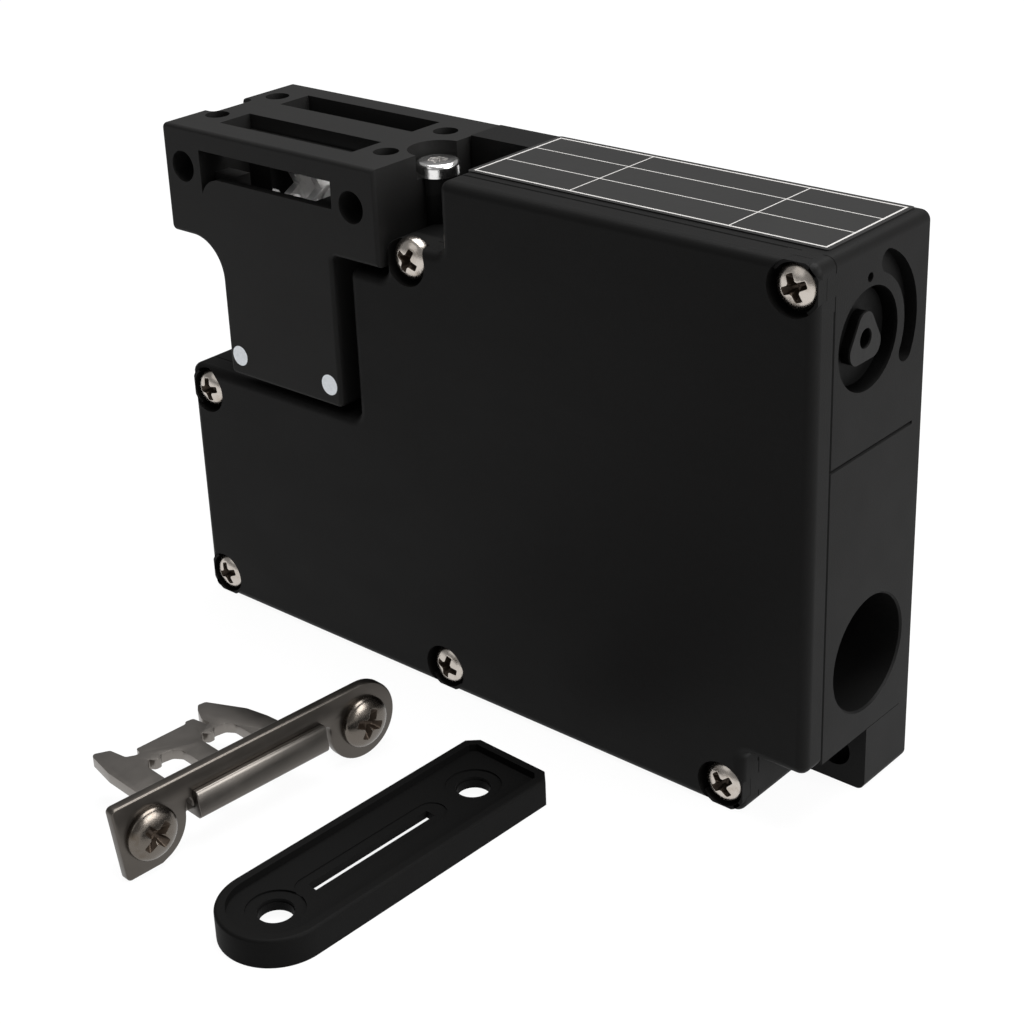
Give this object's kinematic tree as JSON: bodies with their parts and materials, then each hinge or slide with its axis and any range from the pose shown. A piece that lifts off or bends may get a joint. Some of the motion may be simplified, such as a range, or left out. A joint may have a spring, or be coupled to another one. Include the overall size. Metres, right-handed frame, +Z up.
{
  "type": "tongue interlock switch",
  "caption": "Black solenoid safety interlock switch with a slotted cam head, stepped housing and threaded cable entry, with its loose stamped tongue key and pad.",
  "frame": {"origin": "on the ground, in the middle of the box round the switch, the key and the pad as they are laid out", "axes": "+X to the cable entry along the long side, +Y from the cover to the mounting face, +Z up from the long edge it stands on"},
  "size_m": [0.13, 0.1, 0.09],
  "materials": {
    "black_plastic": "black glass-filled thermoplastic, fine spark texture",
    "head_plastic": "black thermoplastic, smooth",
    "label_film": "dark grey printed film with a pale border",
    "gasket": "moulded nitrile rubber",
    "screw_steel": "nickel plated steel",
    "stamped_steel": "stamped stainless steel",
    "bright_steel": "bright ground steel",
    "white_plastic": "natural polyamide",
    "contact_brass": "brass with silver points",
    "copper_winding": "enamelled copper wire",
    "spring_steel": "spring wire",
    "release_plastic": "black polyamide"
  },
  "bodies": {
    "switch": {"base_housing": "black_plastic", "front_cover": "black_plastic", "cover_gasket": "gasket", "cover_screws": "screw_steel", "entry_wall": "black_plastic", "rating_label": "label_film", "head_housing": "head_plastic", "head_screw": "screw_steel", "head_pins": "bright_steel", "cam_axle": "bright_steel", "rod_guide": "white_plastic", "rod_spring": "spring_steel", "contact_block": "white_plastic", "fixed_contacts": "contact_brass", "contact_screws": "screw_steel", "bolt_guide": "white_plastic", "lever_post": "bright_steel", "solenoid_bobbin": "white_plastic", "solenoid_winding": "copper_winding", "solenoid_yoke": "stamped_steel", "plunger_spring": "spring_steel", "terminal_strip": "white_plastic", "terminal_screws": "screw_steel"},
    "key_pad": {"key_pad": "head_plastic"},
    "key": {"key_plate": "stamped_steel", "key_tongue": "stamped_steel", "key_screws": "screw_steel"},
    "cam": {"cam_discs": "bright_steel", "cam_lobe": "stamped_steel"},
    "push_rod": {"push_rod": "white_plastic", "contact_carrier": "white_plastic", "contact_bridges": "contact_brass"},
    "lock_bolt": {"lock_bolt": "stamped_steel"},
    "lock_lever": {"lock_lever": "stamped_steel"},
    "solenoid_plunger": {"solenoid_plunger": "bright_steel"},
    "manual_release": {"manual_release": "release_plastic", "release_clip": "stamped_steel", "release_seal": "gasket"}
  },
  "joints": [
    {"name": "cam_turn", "type": "hinge", "parent": "switch", "child": "cam", "pos_m": [-0.0403, 0.0356, 0.0716], "axis": [-1, 0, 0], "range_deg": [0, 75]},
    {"name": "rod_slide", "type": "slide", "parent": "switch", "child": "push_rod", "axis": [0, 0, -1], "range_m": [0, 0.0039], "deforming": ["rod_spring"]},
    {"name": "release_turn", "type": "hinge", "parent": "switch", "child": "manual_release", "pos_m": [0.06, 0.0342, 0.0755], "axis": [-1, 0, 0], "range_deg": [0, 180]},
    {"name": "plunger_slide", "type": "slide", "parent": "switch", "child": "solenoid_plunger", "axis": [-1, 0, 0], "range_m": [0, 0.004], "deforming": ["plunger_spring"]},
    {"name": "lever_turn", "type": "hinge", "parent": "switch", "child": "lock_lever", "pos_m": [-0.003, 0.0342, 0.052], "axis": [0, -1, 0], "range_deg": [0, 16.4]},
    {"name": "bolt_slide", "type": "slide", "parent": "switch", "child": "lock_bolt", "axis": [1, 0, 0], "range_m": [0, 0.004]},
    {"name": "key_lift", "type": "slide", "parent": "switch", "child": "key", "axis": [0, 0, 1], "range_m": [0, 0.06]},
    {"name": "pad_lift", "type": "slide", "parent": "switch", "child": "key_pad", "axis": [0, 0, 1], "range_m": [0, 0.06]}
  ],
  "couplings": [
    {"joint": "rod_slide", "follows": "cam_turn", "m_per_rad": 0.0029794},
    {"joint": "release_turn", "follows": "plunger_slide", "rad_per_m": 785.39},
    {"joint": "lever_turn", "follows": "plunger_slide", "rad_per_m": 71.558},
    {"joint": "bolt_slide", "follows": "plunger_slide", "ratio": 1}
  ]
}
